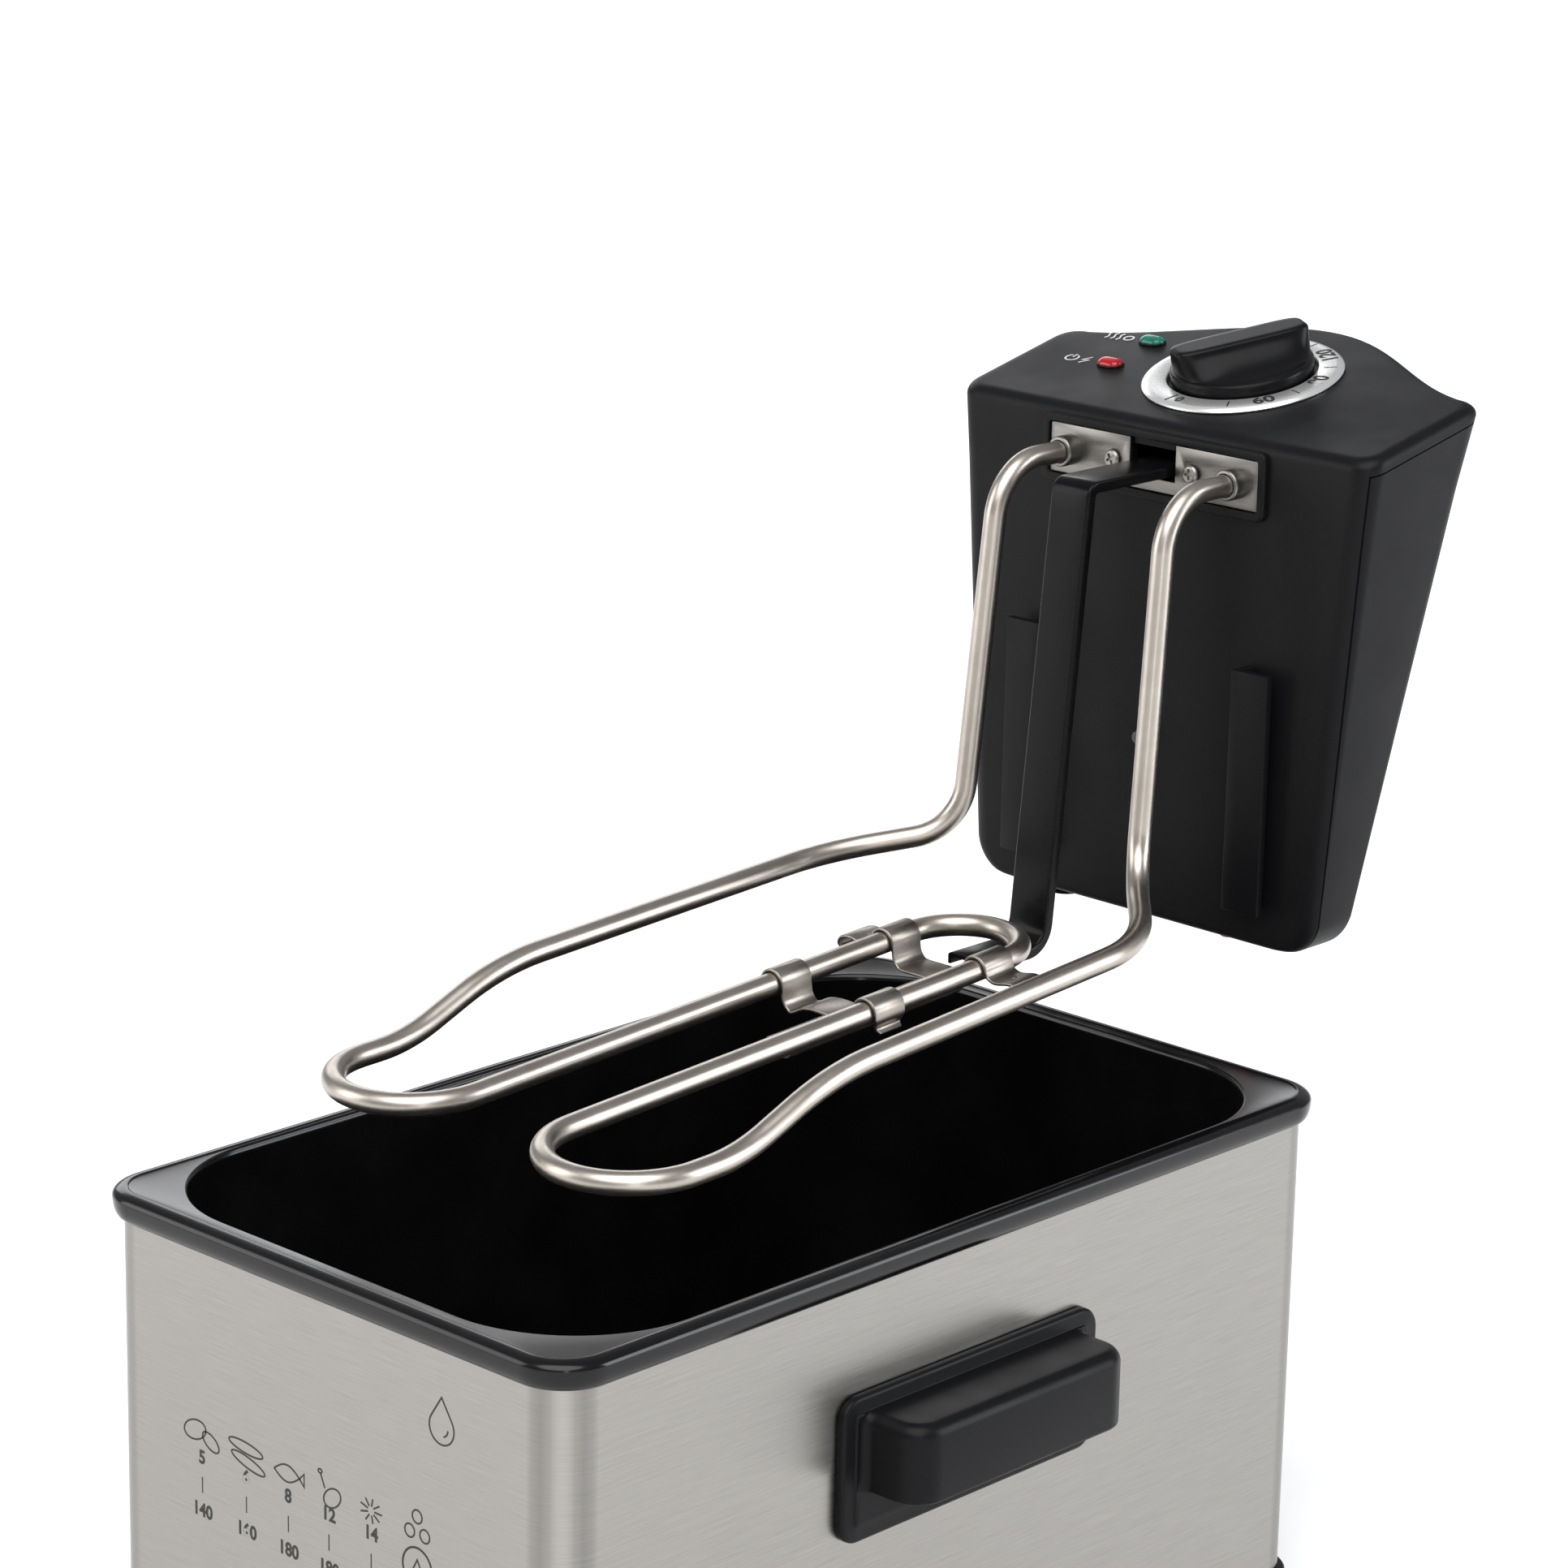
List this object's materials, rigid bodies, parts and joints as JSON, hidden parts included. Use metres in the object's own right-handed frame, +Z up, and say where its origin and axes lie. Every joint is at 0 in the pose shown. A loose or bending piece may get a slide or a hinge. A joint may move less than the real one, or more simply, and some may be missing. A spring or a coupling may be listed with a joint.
{
  "type": "deep fryer",
  "caption": "Household deep fryer with a brushed steel casing, a lift-out enamelled oil pan and a slide-on control unit that carries the looped heating element, shown lifted clear of the pan.",
  "frame": {"origin": "centre of the whole object's footprint on the table, between the front of the rim and the back of the control unit", "axes": "+X to the fryer's right seen from its plain end, +Y towards the control unit, +Z up"},
  "size_m": [0.2426, 0.4462, 0.397],
  "materials": {
    "brushed_casing": "horizontal brushed, satin",
    "black_plastic": "satin, moulded",
    "black_enamel": "glossy vitreous enamel on pressed steel",
    "black_rubber": "matt",
    "zinc_screw": "zinc plated",
    "satin_nickel": "satin nickel plated",
    "black_steel": "semi-gloss black",
    "stainless_plate": "polished sheet",
    "pale_ceramic": "pale electrical insulator",
    "switch_plastic": "moulded",
    "brown_insulation": "flexible insulation",
    "blue_insulation": "flexible insulation",
    "white_sleeve": "glass-fibre sleeve",
    "satin_aluminium": "satin",
    "brass": "turned",
    "green_lens": "clear tinted, polished",
    "red_lens": "clear tinted, polished",
    "lamp_glass": "clear",
    "red_plastic": "polished"
  },
  "bodies": {
    "base": {"outer_casing": "brushed_casing", "base_tray": "black_plastic", "rear_guide": "black_plastic", "handle_left": "black_plastic", "handle_right": "black_plastic", "foot_front_left": "black_rubber", "foot_front_right": "black_rubber", "foot_rear_left": "black_rubber", "foot_rear_right": "black_rubber", "base_screw_front_left": "zinc_screw", "handle_screw_front_left": "zinc_screw", "base_screw_front_right": "zinc_screw", "handle_screw_front_right": "zinc_screw", "base_screw_rear_left": "zinc_screw", "handle_screw_rear_left": "zinc_screw", "base_screw_rear_right": "zinc_screw", "handle_screw_rear_right": "zinc_screw", "guide_screw_left": "zinc_screw", "guide_screw_right": "zinc_screw"},
    "pan": {"oil_pan": "black_enamel"},
    "control_unit": {"front_top_shell": "black_plastic", "rear_shell": "black_plastic", "element_bezel": "black_plastic", "cable_gland": "black_rubber", "housing_screw_left": "zinc_screw", "housing_screw_right": "zinc_screw", "heating_element": "satin_nickel", "clip_rear": "satin_nickel", "clip_middle": "satin_nickel", "thermostat_bulb": "satin_nickel", "cutout_bulb": "satin_nickel", "plate_screw_left": "satin_nickel", "plate_screw_right": "satin_nickel", "sensor_guard": "black_steel", "mounting_plate": "stainless_plate", "thermal_cutout": "pale_ceramic", "terminal_block": "pale_ceramic", "thermostat_body": "pale_ceramic", "interlock_switch": "switch_plastic", "wire_live": "brown_insulation", "wire_neutral": "blue_insulation", "element_lead_left": "white_sleeve", "element_lead_right": "white_sleeve", "dial_ring": "satin_aluminium", "lamp_lens_green": "green_lens", "lamp_lens_red": "red_lens", "neon_lamp_green": "lamp_glass", "neon_lamp_red": "lamp_glass"},
    "knob": {"knob": "black_plastic", "thermostat_shaft": "brass"},
    "reset_button": {"reset_button": "red_plastic"},
    "interlock_plunger": {"interlock_plunger": "black_plastic"}
  },
  "joints": [
    {"name": "pan_lift", "type": "slide", "parent": "base", "child": "pan", "axis": [0, 0, 1], "range_m": [0, 0.18]},
    {"name": "unit_lift", "type": "slide", "parent": "pan", "child": "control_unit", "axis": [0, 0, 1], "range_m": [-0.1655, 0.04]},
    {"name": "knob_turn", "type": "hinge", "parent": "control_unit", "child": "knob", "pos_m": [0, 0.17572, 0.37863], "axis": [0, -0.2164, 0.9763], "range_deg": [-270, 0]},
    {"name": "reset_press", "type": "slide", "parent": "control_unit", "child": "reset_button", "axis": [0, 0, 1], "range_m": [0, 0.0015], "stiffness_N_per_m": 600, "springref_m": -0.001},
    {"name": "interlock_press", "type": "slide", "parent": "control_unit", "child": "interlock_plunger", "axis": [0, 1, 0], "range_m": [0, 0.0015], "stiffness_N_per_m": 600, "springref_m": -0.001}
  ]
}
